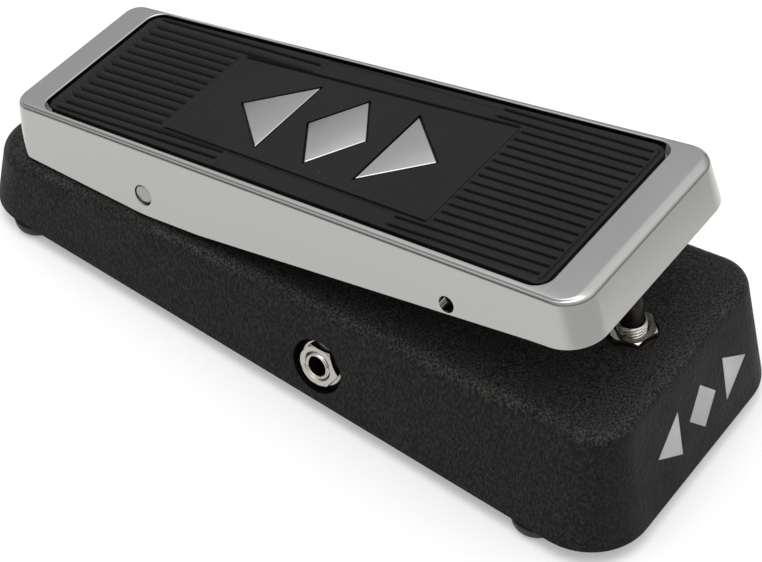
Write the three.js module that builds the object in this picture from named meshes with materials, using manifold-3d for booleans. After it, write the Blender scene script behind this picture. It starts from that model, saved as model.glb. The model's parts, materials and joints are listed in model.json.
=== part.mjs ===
// Rocker ("treadle") guitar effects pedal: a cast wedge housing with a chromed rocking
// treadle on a cross pin, a rack and pinion that turn a potentiometer, a toe-down
// foot switch, two instrument jacks, a power jack, a small circuit board and a battery.
// Millimetres. +Y points to the toe, +X to the player's right, +Z up, floor at z = 0.
import * as THREE from 'three';
import { mergeVertices } from 'three/addons/utils/BufferGeometryUtils.js';
import Module from 'manifold-3d';

const wasm = await Module();
wasm.setup();

// ---------------------------------------------------------------- driving dimensions
const DEG = Math.PI / 180;
const GAP = 0.3; // clearance between pieces that touch

const FOOT_HEIGHT = 5;
const BASE_LENGTH = 254;
const BASE_HALF_TOE = 52.6; // half widths at the bottom edge
const BASE_HALF_HEEL = 40.1;
const BASE_CORNER = 20;
const BASE_DRAFT = 12 * DEG;
const BASE_WALL = 3.5;
const BASE_TOP_ROUND = 5;
const DECK_HEIGHT = 36.7; // deck above the floor at y = 0
const DECK_SLOPE = Math.atan(0.08);

const PIVOT = { y: -54.8, z: 41.2 };
const TREADLE_TILT = 10.68 * DEG; // heel down, the rest position
// treadle frame: origin on the pivot, v towards the toe, h up from the pivot
const TREADLE_TOP = 16.9;
const TREADLE_TOE = 162.9;
const TREADLE_HEEL = -55.8;
const TREADLE_HALF_TOE = 38.5;
const TREADLE_HALF_HEEL = 30.6;
const TREADLE_CORNER_TOE = 9;
const TREADLE_CORNER_HEEL = 6;
const TREADLE_DRAFT = 9 * DEG;
const TREADLE_WALL = 3;
const EDGE_ROUND = 1.2;
const TOE_EDGE_ROUND = 3;
const RECESS = { toe: 150.2, heel: -45, halfToe: 35.5, halfHeel: 29.1, corner: 5.5, depth: 3 };
const RECESS_FLOOR = 2.4;
const MAT_MOAT = 1.5;
const MAT_TOP = TREADLE_TOP - 0.3;

const RACK_PIN = { v: 118.4, h: 2.6, r: 1.6 };
const PINION = { y: 53.55, z: 28.2, teeth: 14, module: 0.8 };
const RACK = { x: 3.5, back: 65, root: 60.3, bottom: 25, eyeY: 62.25, slotHeel: 50 };

// the jacks stand square to the drafted side walls
const JACK = { y: 18.4, z: 17.5, recessRadius: 8.9, recessDepth: 2.1, panel: 3.2, bore: 3.3 };
const POWER_JACK = { y: -22, z: 18.5, barrel: 5.6, bore: 3.35 };
const SWITCH = { y: 99.5, seatRadius: 8.4, seatDepth: 1.2, barrel: 4.6, bore: 3.9, hex: 13.5 };
const STRIKE_PAD_V = 153.7;
const FEET = [
  { name: 'toe_right', x: 43.6, y: 97.5 },
  { name: 'toe_left', x: -43.6, y: 97.5 },
  { name: 'heel_right', x: 33.8, y: -105 },
  { name: 'heel_left', x: -33.8, y: -105 },
];
const ARC_STEPS = 7;

// ---------------------------------------------------------------- materials
const finish = (color, roughness, metalness = 0) =>
  new THREE.MeshStandardMaterial({ color, roughness, metalness });
const CRINKLE = finish(0x1b1b1b, 0.7);
const CHROME = finish(0xc9c8c4, 0.12, 1);
const NICKEL = finish(0xb8b2a6, 0.25, 1);
const STEEL = finish(0x55504a, 0.4, 1);
const BRIGHT_STEEL = finish(0x9b9a96, 0.35, 1);
const RUBBER = finish(0x202121, 0.75);
const NYLON = finish(0xd8d4c6, 0.5);
const BLACK_PLASTIC = finish(0x141414, 0.45);
const BOARD = finish(0x2f6b3c, 0.5);
const BRASS = finish(0xb59a55, 0.35, 1);
const CAP_PLASTIC = finish(0x8c2f25, 0.4);
const RESISTOR_PAINT = finish(0xc9ad7f, 0.5);
const WIRE_RED = finish(0xa32a22, 0.5);

// ---------------------------------------------------------------- solid helpers
function toSolid(geometry) {
  if (!geometry.isBufferGeometry) return geometry;
  const bare = geometry.index ? geometry.toNonIndexed() : geometry.clone();
  for (const name of Object.keys(bare.attributes)) {
    if (name !== 'position') bare.deleteAttribute(name);
  }
  const merged = mergeVertices(bare, 1e-4);
  return new wasm.Manifold(new wasm.Mesh({
    numProp: 3,
    vertProperties: new Float32Array(merged.attributes.position.array),
    triVerts: new Uint32Array(merged.index.array),
  }));
}

function toGeometry(solid) {
  const mesh = solid.getMesh();
  const geometry = new THREE.BufferGeometry();
  geometry.setAttribute('position', new THREE.BufferAttribute(mesh.vertProperties, 3));
  geometry.setIndex(new THREE.BufferAttribute(mesh.triVerts, 1));
  geometry.computeVertexNormals();
  return geometry;
}

// solids and geometries can be mixed in both
const join = (...parts) => parts.map(toSolid).reduce((a, b) => a.add(b));
const cut = (body, ...tools) => tools.map(toSolid).reduce((a, b) => a.subtract(b), toSolid(body));

const box = (from, to) => {
  const size = to.map((v, i) => v - from[i]);
  const centre = to.map((v, i) => (v + from[i]) / 2);
  return new THREE.BoxGeometry(...size).translate(...centre);
};

// a cylinder from `from` to `to` along one axis, centred on the two other coordinates
function rod(axis, radius, from, to, [p, q], sides = 24) {
  const geometry = new THREE.CylinderGeometry(radius, radius, to - from, sides);
  const middle = (from + to) / 2;
  if (axis === 'x') return geometry.rotateZ(-Math.PI / 2).translate(middle, p, q);
  if (axis === 'y') return geometry.translate(p, middle, q);
  return geometry.rotateX(Math.PI / 2).translate(p, q, middle);
}

// a ring or any turned shape: [radius, height] points about +Z
const turned = (profile, sides = 24) =>
  new THREE.LatheGeometry(profile.map(([r, h]) => new THREE.Vector2(r, h)), sides)
    .rotateX(Math.PI / 2);

const ring = (inner, outer, from, to, sides = 24) =>
  turned([[inner, from], [outer, from], [outer, to], [inner, to], [inner, from]], sides);

const prism = (points, from, to) =>
  new THREE.ExtrudeGeometry(new THREE.Shape(points.map(([x, y]) => new THREE.Vector2(x, y))),
    { depth: to - from, bevelEnabled: false }).translate(0, 0, from);

// a prism whose outline is drawn in the (y, z) plane and which runs along x
const sidePrism = (points, from, to) =>
  prism(points, from, to).applyMatrix4(new THREE.Matrix4().set(
    0, 0, 1, 0, 1, 0, 0, 0, 0, 1, 0, 0, 0, 0, 0, 1));

const hexagon = (acrossFlats) => Array.from({ length: 6 }, (_, i) => {
  const r = acrossFlats / 2 / Math.cos(30 * DEG);
  return [r * Math.cos(i * 60 * DEG), r * Math.sin(i * 60 * DEG)];
});

// closed surface through rings of equal point counts, from the lowest to the highest
function loft(rings) {
  const count = rings[0].length;
  const points = rings.flat();
  const faces = [];
  const fan = (start, flip) => {
    const ringPoints = points.slice(start, start + count);
    const centre = points.length;
    points.push([0, 1, 2].map((k) => ringPoints.reduce((s, p) => s + p[k], 0) / count));
    for (let i = 0; i < count; i++) {
      const a = start + i;
      const b = start + (i + 1) % count;
      faces.push(...(flip ? [centre, b, a] : [centre, a, b]));
    }
  };
  for (let k = 0; k + 1 < rings.length; k++) {
    for (let i = 0; i < count; i++) {
      const a = k * count + i;
      const b = k * count + (i + 1) % count;
      faces.push(a, b, b + count, a, b + count, a + count);
    }
  }
  fan(0, true);
  fan((rings.length - 1) * count, false);
  const geometry = new THREE.BufferGeometry();
  geometry.setAttribute('position', new THREE.Float32BufferAttribute(points.flat(), 3));
  geometry.setIndex(faces);
  return geometry;
}

// rounded trapezoid, counter-clockwise, each point with its outward normal
function roundedTrapezoid({ toe, heel, halfToe, halfHeel, cornerToe, cornerHeel }) {
  const slant = Math.atan2(halfToe - halfHeel, toe - heel);
  const outline = [];
  const corner = (side, end, radius) => {
    const y = end > 0 ? toe : heel;
    const half = end > 0 ? halfToe : halfHeel;
    const sideNormal = [side * Math.cos(slant), -Math.sin(slant)];
    // the arc's centre lies one radius inside both straight edges
    const cy = y - end * radius;
    const halfAt = half + (cy - y) * Math.tan(slant);
    const cx = side * (halfAt - radius / Math.cos(slant));
    const from = end > 0 === side > 0 ? Math.atan2(sideNormal[1], sideNormal[0])
      : end * Math.PI / 2;
    const to = end > 0 === side > 0 ? end * Math.PI / 2
      : Math.atan2(sideNormal[1], sideNormal[0]);
    const turn = ((to - from) % (2 * Math.PI) + 2 * Math.PI) % (2 * Math.PI);
    for (let i = 0; i <= ARC_STEPS; i++) {
      const a = from + turn * i / ARC_STEPS;
      const n = [Math.cos(a), Math.sin(a)];
      outline.push({ p: [cx + radius * n[0], cy + radius * n[1]], n });
    }
  };
  corner(1, 1, cornerToe);
  corner(-1, 1, cornerToe);
  corner(-1, -1, cornerHeel);
  corner(1, -1, cornerHeel);
  return outline;
}

// ring of the outline moved inwards by inset(point) and lifted to height(x, y)
const ringAt = (outline, inset, height) => outline.map(({ p, n }) => {
  const d = typeof inset === 'function' ? inset(p, n) : inset;
  const x = p[0] - n[0] * d;
  const y = p[1] - n[1] * d;
  return [x, y, typeof height === 'function' ? height(x, y, n) : height];
});

// ---------------------------------------------------------------- scene graph
const pedal = new THREE.Group();
const treadle = new THREE.Group();
treadle.position.set(0, PIVOT.y, PIVOT.z);
treadle.rotation.x = TREADLE_TILT;
const deckAt = (y) => DECK_HEIGHT + Math.tan(DECK_SLOPE) * y;
const onDeck = (y) => {
  const group = new THREE.Group();
  group.position.set(0, y, deckAt(y));
  group.rotation.x = DECK_SLOPE;
  group.updateMatrixWorld();
  pedal.add(group);
  return group;
};
// a frame on the outer face of a side wall whose +x axis points straight out of the wall
const WALL_SLANT = Math.atan2(BASE_HALF_TOE - BASE_HALF_HEEL, BASE_LENGTH);
const wallAt = (y, z) => BASE_HALF_HEEL + (BASE_HALF_TOE - BASE_HALF_HEEL)
  * (y / BASE_LENGTH + 0.5) - Math.tan(BASE_DRAFT) * (z - FOOT_HEIGHT);
const onWall = (side, y, z) => {
  const group = new THREE.Group();
  group.position.set(side * wallAt(y, z), y, z);
  group.rotation.order = 'ZYX';
  group.rotation.set(0, -BASE_DRAFT, side > 0 ? -WALL_SLANT : Math.PI + WALL_SLANT);
  group.updateMatrixWorld();
  pedal.add(group);
  return group;
};
pedal.add(treadle);

function piece(parent, name, material, shape) {
  const mesh = new THREE.Mesh(toGeometry(toSolid(shape)), material);
  mesh.name = name;
  parent.add(mesh);
  return mesh;
}

// ---------------------------------------------------------------- housing and plate
const jackFrames = [1, -1].map((side) => onWall(side, JACK.y, JACK.z));
const powerFrame = onWall(-1, POWER_JACK.y, POWER_JACK.z);
const switchGroup = onDeck(SWITCH.y);
const baseOutline = roundedTrapezoid({
  toe: BASE_LENGTH / 2, heel: -BASE_LENGTH / 2,
  halfToe: BASE_HALF_TOE, halfHeel: BASE_HALF_HEEL,
  cornerToe: BASE_CORNER, cornerHeel: BASE_CORNER,
});

// drafted wall, then a round into the deck; `inside` shrinks every face by that much
function wedge(inside, bottom, round, angles) {
  const startInset = (y) => Math.tan(BASE_DRAFT)
    * (deckAt(y) - inside - round * (1 - Math.sin(BASE_DRAFT)) - FOOT_HEIGHT);
  const rings = [ringAt(baseOutline, inside + Math.tan(BASE_DRAFT) * (bottom - FOOT_HEIGHT), bottom)];
  for (const angle of angles) {
    const sweep = round * (Math.cos(BASE_DRAFT) - Math.cos(angle));
    rings.push(ringAt(baseOutline,
      (p) => inside + startInset(p[1]) + sweep,
      (x, y) => deckAt(y) - inside - round * (1 - Math.sin(angle))));
  }
  return loft(rings);
}

function baseHousing() {
  const outer = toSolid(wedge(0, FOOT_HEIGHT, BASE_TOP_ROUND,
    [12, 28, 44, 60, 75, 90].map((a) => a * DEG)));
  const cavity = toSolid(wedge(BASE_WALL, FOOT_HEIGHT - 1, 5.5, [12, 50, 90].map((a) => a * DEG)));
  const bosses = [];
  for (const foot of FEET) {
    bosses.push(rod('z', 4.5, FOOT_HEIGHT + 2.2, deckAt(foot.y) - 2, [foot.x, foot.y]));
  }
  for (const frame of jackFrames) {
    bosses.push(box([-JACK.recessDepth - JACK.panel, -12.5, -9.3], [3, 12.5, 13])
      .applyMatrix4(frame.matrixWorld));
  }
  const holes = [];
  for (const foot of FEET) {
    holes.push(rod('z', 2.1, 0, 22, [foot.x, foot.y], 12));
  }
  for (const frame of jackFrames) {
    holes.push(...[rod('x', JACK.recessRadius, -JACK.recessDepth, 12, [0, 0], 32),
      rod('x', 5.1, -12, 0, [0, 0])].map((hole) => hole.applyMatrix4(frame.matrixWorld)));
  }
  holes.push(rod('x', POWER_JACK.barrel + GAP, -9, 5, [0, 0]).applyMatrix4(powerFrame.matrixWorld));
  holes.push(box([-RACK.x - 0.9, RACK.slotHeel, 30], [RACK.x + 0.9, RACK.back + 1, 50]));
  holes.push(...[rod('z', SWITCH.seatRadius, -SWITCH.seatDepth, 5, [0, 0], 28),
    rod('z', SWITCH.barrel + GAP, -9, 9, [0, 0])].map((hole) => hole
    .applyMatrix4(switchGroup.matrixWorld)));
  // the bosses are what the hollow leaves standing, so they never break the outer skin
  const hollow = cut(cavity, ...bosses);
  const body = outer.subtract(hollow).add(toSolid(pivotEar(1))).add(toSolid(pivotEar(-1)));
  return cut(body, ...holes, rod('x', 5.1, -40, 40, [PIVOT.y, PIVOT.z]));
}

// an upright on the deck that carries one pivot bushing
function pivotEar(side) {
  const inner = side > 0 ? 20 : -28;
  const foot = deckAt(PIVOT.y) - 2;
  const arc = Array.from({ length: 9 }, (_, i) => {
    const a = i * 22.5 * DEG;
    return [PIVOT.y + 7.5 * Math.cos(a), PIVOT.z + 7.5 * Math.sin(a)];
  });
  return sidePrism([[PIVOT.y - 9.5, foot], [PIVOT.y + 9.5, foot], ...arc], inner, inner + 8);
}

piece(pedal, 'base_housing', CRINKLE, baseHousing());

const plateInset = BASE_WALL + 0.6;
piece(pedal, 'bottom_plate', STEEL, cut(
  toSolid(loft([
    ringAt(baseOutline, plateInset, FOOT_HEIGHT + 0.2),
    ringAt(baseOutline, plateInset, FOOT_HEIGHT + 1.7),
  ])),
  ...FEET.map((foot) => rod('z', 2.1, 0, 20, [foot.x, foot.y], 12))));

// ---------------------------------------------------------------- feet
const footProfile = [[2.1, 3.2], [4.2, 3.2], [4.2, 0], [5.4, 0], [6.9, 0.8], [7.7, 2.2],
  [8, 4.7], [2.1, 4.7], [2.1, 3.2]];
const screwProfile = [[0, 0.8], [2.6, 0.8], [3.6, 1.4], [3.6, 2.9], [1.6, 2.9], [1.6, 20], [0, 20]];
for (const foot of FEET) {
  piece(pedal, `foot_${foot.name}`, RUBBER, turned(footProfile, 28)).position.set(foot.x, foot.y, 0);
  piece(pedal, `foot_screw_${foot.name}`, BRIGHT_STEEL, turned(screwProfile, 16))
    .position.set(foot.x, foot.y, 0);
}

// ---------------------------------------------------------------- treadle
const treadleOutline = roundedTrapezoid({
  toe: TREADLE_TOE, heel: TREADLE_HEEL,
  halfToe: TREADLE_HALF_TOE, halfHeel: TREADLE_HALF_HEEL,
  cornerToe: TREADLE_CORNER_TOE, cornerHeel: TREADLE_CORNER_HEEL,
});
const recessOutline = roundedTrapezoid({
  toe: RECESS.toe, heel: RECESS.heel,
  halfToe: RECESS.halfToe, halfHeel: RECESS.halfHeel,
  cornerToe: RECESS.corner, cornerHeel: RECESS.corner,
});
// lower edge of the side walls, from the heel to the toe
const skirt = [[-70, -0.6], [-1, -7.4], [22, -7.2], [147, 1], [175, 1.9]];
const SKIRT_LOW = -12;

function treadleShell() {
  const draft = (h) => -Math.tan(TREADLE_DRAFT) * (TREADLE_TOP - h);
  const round = (n) => EDGE_ROUND + (TOE_EDGE_ROUND - EDGE_ROUND) * Math.max(0, n[1]) ** 4;
  const rings = [ringAt(treadleOutline, draft(SKIRT_LOW), SKIRT_LOW)];
  for (const angle of [8, 35, 62, 90].map((a) => a * DEG)) {
    rings.push(ringAt(treadleOutline,
      (p, n) => draft(TREADLE_TOP - round(n)) + round(n) * (1 - Math.cos(angle)),
      (x, y, n) => TREADLE_TOP - round(n) * (1 - Math.sin(angle))));
  }
  const outer = toSolid(loft(rings));
  const underside = TREADLE_TOP - RECESS.depth;
  const inner = loft([
    ringAt(treadleOutline, TREADLE_WALL + draft(SKIRT_LOW - 1), SKIRT_LOW - 1),
    ringAt(treadleOutline, TREADLE_WALL + draft(underside), underside),
  ]);
  const floorSlab = loft([
    ringAt(recessOutline, -1, underside - RECESS_FLOOR),
    ringAt(recessOutline, -1, underside + 0.5),
  ]);
  const recess = loft([
    ringAt(recessOutline, 0, underside),
    ringAt(recessOutline, 0, TREADLE_TOP + 2),
  ]);
  const added = [
    ...[1, -1].map((side) => rod('x', 6.2, side > 0 ? 30.5 : -45, side > 0 ? 45 : -30.5, [0, 0])),
    ...[1, -1].map((side) => box([side * 6.5 - 1.5, RACK_PIN.v - 4, RACK_PIN.h - 4],
      [side * 6.5 + 1.5, RACK_PIN.v + 4, underside - 0.5])),
    rod('z', 6, 0, underside - 0.5, [0, -42]),
  ];
  let body = outer.subtract(toSolid(inner)).add(toSolid(floorSlab));
  for (const part of added) body = body.add(toSolid(part).intersect(outer));
  const keep = sidePrism([...skirt, [175, 30], [-70, 30]], -60, 60);
  body = body.intersect(toSolid(keep));
  return cut(body, recess,
    rod('x', 3.5, -60, 60, [0, 0]),
    rod('x', RACK_PIN.r + GAP, -12, 12, [RACK_PIN.v, RACK_PIN.h], 16),
    ...[1, -1].map((side) => rod('x', 2.65, side > 0 ? 20 : -60, side > 0 ? 60 : -20,
      [RACK_PIN.v, RACK_PIN.h], 20)),
    rod('z', 3.4, 0, underside, [0, STRIKE_PAD_V]));
}
piece(treadle, 'treadle_shell', CHROME, treadleShell());
piece(treadle, 'pivot_rod', BRIGHT_STEEL, rod('x', 3.2, -35, 35, [0, 0]));
piece(treadle, 'rack_pin', BRIGHT_STEEL,
  rod('x', RACK_PIN.r, -8.3, 8.3, [RACK_PIN.v, RACK_PIN.h], 16));

// three plain inlays in the middle of the mat: an arrowhead, a lozenge, an arrowhead
const EMBLEM = { middle: 53, gap: 19, arrow: 18, half: 16.5, lozenge: 11 };
const emblemShapes = {
  emblem_heel_arrow: [[EMBLEM.half, EMBLEM.middle - EMBLEM.gap],
    [-EMBLEM.half, EMBLEM.middle - EMBLEM.gap], [0, EMBLEM.middle - EMBLEM.gap - EMBLEM.arrow]],
  emblem_lozenge: [[EMBLEM.half, EMBLEM.middle], [0, EMBLEM.middle + EMBLEM.lozenge],
    [-EMBLEM.half, EMBLEM.middle], [0, EMBLEM.middle - EMBLEM.lozenge]],
  emblem_toe_arrow: [[-EMBLEM.half, EMBLEM.middle + EMBLEM.gap],
    [EMBLEM.half, EMBLEM.middle + EMBLEM.gap], [0, EMBLEM.middle + EMBLEM.gap + EMBLEM.arrow]],
};
const grown = (points, by) => {
  const cx = points.reduce((s, p) => s + p[0], 0) / points.length;
  const cy = points.reduce((s, p) => s + p[1], 0) / points.length;
  return points.map(([x, y]) => {
    const length = Math.hypot(x - cx, y - cy);
    return [x + (x - cx) / length * by, y + (y - cy) / length * by];
  });
};
const matBottom = TREADLE_TOP - RECESS.depth + GAP;
piece(treadle, 'treadle_mat', RUBBER, cut(
  toSolid(loft([
    ringAt(recessOutline, MAT_MOAT, matBottom),
    ringAt(recessOutline, MAT_MOAT, MAT_TOP),
  ])),
  ...Object.values(emblemShapes).map((s) => prism(grown(s, 1), matBottom - 1, MAT_TOP + 1))));
for (const [name, shape] of Object.entries(emblemShapes)) {
  piece(treadle, name, CHROME, prism(shape, matBottom, MAT_TOP - 0.2));
}
piece(treadle, 'switch_strike_pad', RUBBER,
  ring(0.6, 3, TREADLE_TOP - RECESS.depth - 0.95, TREADLE_TOP - RECESS.depth - GAP, 20))
  .position.set(0, STRIKE_PAD_V, 0);

// ---------------------------------------------------------------- pivot bushings, bumper
for (const [name, side] of [['right', 1], ['left', -1]]) {
  const mesh = piece(pedal, `pivot_bushing_${name}`, NYLON, turned([
    [3.5, -4.4], [4.8, -4.4], [4.8, 4.3], [6.2, 4.3], [6.2, 5.5], [3.5, 5.5], [3.5, -4.4]]));
  mesh.position.set(side * 24, PIVOT.y, PIVOT.z);
  mesh.rotation.y = side * Math.PI / 2;
}
piece(onDeck(-96), 'heel_bumper', RUBBER, ring(1, 7, GAP, 3, 24));

// ---------------------------------------------------------------- foot switch
piece(switchGroup, 'footswitch_washer', NICKEL, ring(5, 7.6, -0.9, -0.4, 28));
piece(switchGroup, 'footswitch_nut', NICKEL,
  cut(toSolid(prism(hexagon(SWITCH.hex), -0.1, 1.6)).rotate([0, 0, -12]),
    rod('z', SWITCH.barrel + GAP, -2, 9, [0, 0])));
piece(switchGroup, 'footswitch_bushing', NICKEL, ring(SWITCH.bore, SWITCH.barrel, -9, 4.8, 28));
piece(switchGroup, 'footswitch_lock_nut', BRIGHT_STEEL,
  cut(toSolid(prism(hexagon(SWITCH.hex), -6.6, -BASE_WALL - 0.4)),
    rod('z', SWITCH.barrel + GAP, -9, 0, [0, 0])));
piece(switchGroup, 'footswitch_body', BLACK_PLASTIC, cut(
  join(box([-9, -13, -26], [9, 13, -9.3]), ...[-8, 0, 8].flatMap((y) => [-4, 4].map((x) => (
    box([x - 1, y - 0.4, -31], [x + 1, y + 0.4, -25]))))),
  rod('z', SWITCH.bore, -15, 0, [0, 0])));
piece(switchGroup, 'switch_plunger', STEEL,
  turned([[0, -9.5], [3.5, -9.5], [3.5, 11.7], [2.6, 14], [2, 14.7], [0, 14.7]]));

// ---------------------------------------------------------------- rack and pinion
const PITCH = Math.PI * PINION.module;
const PITCH_RADIUS = PINION.module * PINION.teeth / 2;
const PRESSURE = 20 * DEG;
const BACKLASH = 0.3;

function pinionOutline() {
  const base = PITCH_RADIUS * Math.cos(PRESSURE);
  const tip = PITCH_RADIUS + PINION.module;
  const root = PITCH_RADIUS - 1.25 * PINION.module;
  const involute = (a) => Math.tan(a) - a;
  const halfAngle = (r) => (PITCH / 2 - BACKLASH) / 2 / PITCH_RADIUS + involute(PRESSURE)
    - involute(Math.acos(Math.min(1, base / Math.max(r, base))));
  const flank = [root, base, (base + tip) / 2, tip];
  const points = [];
  for (let t = 0; t < PINION.teeth; t++) {
    // a gap between two teeth faces the rack
    const centre = (t + 0.5) * 2 * Math.PI / PINION.teeth;
    for (const r of flank) points.push([r, centre - halfAngle(r)]);
    for (const r of [...flank].reverse()) points.push([r, centre + halfAngle(r)]);
  }
  return points.map(([r, a]) => [r * Math.cos(a), r * Math.sin(a)]);
}

const rotor = new THREE.Group();
rotor.position.set(0, PINION.y, PINION.z);
pedal.add(rotor);
piece(rotor, 'pinion', NYLON, cut(toSolid(sidePrism(pinionOutline(), -3, 3)),
  rod('x', 3.3, -5, 5, [0, 0])));
piece(rotor, 'pot_shaft', BRIGHT_STEEL, rod('x', 3, -3.6, 11, [0, 0]));

function rackSolid() {
  const pinZ = PIVOT.z + RACK_PIN.v * Math.sin(TREADLE_TILT) + RACK_PIN.h * Math.cos(TREADLE_TILT);
  const teethTop = 47;
  const half = PITCH / 4 - BACKLASH / 2;
  const tipY = RACK.root - 1.6;
  const pitchY = RACK.root - 1;
  const outline = [[RACK.back, RACK.bottom], [RACK.back, pinZ - 4], [RACK.eyeY + 5.4, pinZ - 3],
    [RACK.eyeY + 5.4, pinZ + 3], [RACK.eyeY + 4.2, pinZ + 4.2], [RACK.eyeY - 4.2, pinZ + 4.2],
    [RACK.eyeY - 5.4, pinZ + 3], [RACK.eyeY - 5.4, pinZ - 3], [RACK.root, pinZ - 4]];
  const first = Math.ceil((RACK.bottom - PINION.z) / PITCH + 0.5);
  const last = Math.floor((teethTop - PINION.z) / PITCH);
  for (let i = last; i >= first; i--) {
    const z = PINION.z + i * PITCH;
    const slope = Math.tan(PRESSURE);
    outline.push([RACK.root, z + half + (RACK.root - pitchY) * slope]);
    outline.push([tipY, z + half - (pitchY - tipY) * slope]);
    outline.push([tipY, z - half + (pitchY - tipY) * slope]);
    outline.push([RACK.root, z - half - (RACK.root - pitchY) * slope]);
  }
  outline.push([RACK.root, RACK.bottom]);
  const slotReach = 1.5;
  const slot = [
    rod('x', RACK_PIN.r + 0.25, -9, 9, [RACK.eyeY - slotReach, pinZ], 20),
    rod('x', RACK_PIN.r + 0.25, -9, 9, [RACK.eyeY + slotReach, pinZ], 20),
    box([-9, RACK.eyeY - slotReach, pinZ - RACK_PIN.r - 0.22],
      [9, RACK.eyeY + slotReach, pinZ + RACK_PIN.r + 0.22]),
  ];
  return cut(toSolid(sidePrism(outline, -RACK.x, RACK.x)), ...slot);
}
piece(pedal, 'rack', NYLON, rackSolid());
piece(pedal, 'rack_guide', NYLON, box([-6, RACK.back + GAP, 21], [6, RACK.back + 3.6, 36.5]));

const pot = new THREE.Group();
pot.position.set(0, PINION.y, PINION.z);
pedal.add(pot);
piece(pot, 'pot_body', BRIGHT_STEEL, cut(
  join(rod('x', 8.2, 8, 18, [0, 0], 28), rod('x', 4.6, 4.1, 9, [0, 0])),
  rod('x', 3.3, 3, 12, [0, 0])));
piece(pot, 'pot_nut', NICKEL, cut(
  toSolid(prism(hexagon(10.5), 3.9, 5.6).rotateX(Math.PI / 2).rotateZ(Math.PI / 2)),
  rod('x', 4.9, 0, 9, [0, 0])));
piece(pot, 'pot_bracket', BRIGHT_STEEL, cut(
  join(box([6, -20, -9], [7.6, 8, 6.8]), box([6, -20, 5.3], [16, -11, 6.8])),
  rod('x', 4.9, 0, 9, [0, 0])));

// ---------------------------------------------------------------- jacks
const jackInner = -JACK.recessDepth - JACK.panel;
for (const [i, name] of ['input', 'output'].entries()) {
  const frame = jackFrames[i];
  piece(frame, `${name}_jack_body`, BLACK_PLASTIC, cut(
    box([jackInner - 20.6, -8, -4.8], [jackInner - 0.6, 8, 7.5]),
    rod('x', 5, jackInner - 1.6, 0, [0, 0]),
    rod('x', JACK.bore, jackInner - 18.6, 0, [0, 0])));
  piece(frame, `${name}_jack_bushing`, NICKEL,
    ring(JACK.bore, 4.7, jackInner - 1.3, 1.3, 28).rotateY(Math.PI / 2));
  piece(frame, `${name}_jack_washer`, NICKEL,
    ring(5, 7.7, GAP - JACK.recessDepth, 0.8 - JACK.recessDepth, 28).rotateY(Math.PI / 2));
  piece(frame, `${name}_jack_nut`, NICKEL,
    cut(toSolid(prism(hexagon(12.7), -1, 0.7)), rod('z', 5, -3, 3, [0, 0])).rotate([0, 90, 0]));
}

piece(powerFrame, 'power_jack', BLACK_PLASTIC, cut(
  join(rod('x', 7.2, -15.7, -4, [0, 0]), rod('x', POWER_JACK.barrel, -5, -0.1, [0, 0])),
  rod('x', POWER_JACK.bore, -11.7, 2, [0, 0])));

// ---------------------------------------------------------------- circuit board
const BOARD_Z = 24.5;
piece(pedal, 'circuit_board', BOARD, box([-16, -40, BOARD_Z], [16, 25, BOARD_Z + 1.6]));
for (const [i, [x, y]] of [[-12, -35], [12, -35], [0, 21]].entries()) {
  piece(pedal, `board_standoff_${i + 1}`, BRASS,
    rod('z', 2.5, BOARD_Z + 1.6 + GAP, deckAt(y) - BASE_WALL - 0.6, [x, y], 12));
}
const underBoard = BOARD_Z - GAP;
piece(pedal, 'inductor', CAP_PLASTIC, rod('z', 6.5, underBoard - 11, underBoard, [-7, 4]));
for (const [i, [x, y]] of [[-9, -12], [7, -30]].entries()) {
  piece(pedal, `transistor_${i + 1}`, BLACK_PLASTIC,
    rod('z', 2.4, underBoard - 6, underBoard, [x, y], 12));
}
for (const [i, [x, y]] of [[7, 4], [-8, -26], [7, -18]].entries()) {
  piece(pedal, `film_capacitor_${i + 1}`, CAP_PLASTIC,
    box([x - 5, y - 2, underBoard - 8], [x + 5, y + 2, underBoard]));
}
piece(pedal, 'electrolytic_capacitor', BLACK_PLASTIC,
  rod('z', 3.2, underBoard - 10, underBoard, [8, -7]));
for (const [i, y] of [-34, -20].entries()) {
  piece(pedal, `resistor_${i + 1}`, RESISTOR_PAINT,
    rod('x', 1.2, -9, -2, [y, underBoard - 1.4], 12));
}

// ---------------------------------------------------------------- battery and leads
piece(pedal, 'battery', BLACK_PLASTIC, box([-13.2, -101, 7], [13.2, -55, 24.3]));
piece(pedal, 'battery_snap', BLACK_PLASTIC, box([-12.5, -54.6, 8], [12.5, -50, 23]));
[['red', WIRE_RED, 5], ['black', BLACK_PLASTIC, -5]].forEach(([name, material, x]) => {
  const path = new THREE.CatmullRomCurve3([[x, -49.6, 18], [x, -46.5, 18.5], [x * 1.1, -44, 20.5],
    [x * 1.2, -42.5, 23], [x * 1.2, -42, 27]].map((p) => new THREE.Vector3(...p)));
  const section = new THREE.Shape();
  section.absarc(0, 0, 0.8, 0, 2 * Math.PI);
  piece(pedal, `battery_lead_${name}`, material, new THREE.ExtrudeGeometry(section,
    { steps: 10, curveSegments: 4, extrudePath: path, bevelEnabled: false }));
});

export default pedal;
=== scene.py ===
"""Rocker effects pedal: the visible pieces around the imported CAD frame.

Lengths are in millimetres and scaled when a mesh is made. +Y points to the toe, +X to the
player's right, +Z up. Treadle pieces are drawn in its own frame: x, v towards the toe and h up
from the pivot, with the treadle at rest.
"""
import json
import math
import bpy
import bmesh
from mathutils import Matrix, Vector


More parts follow.
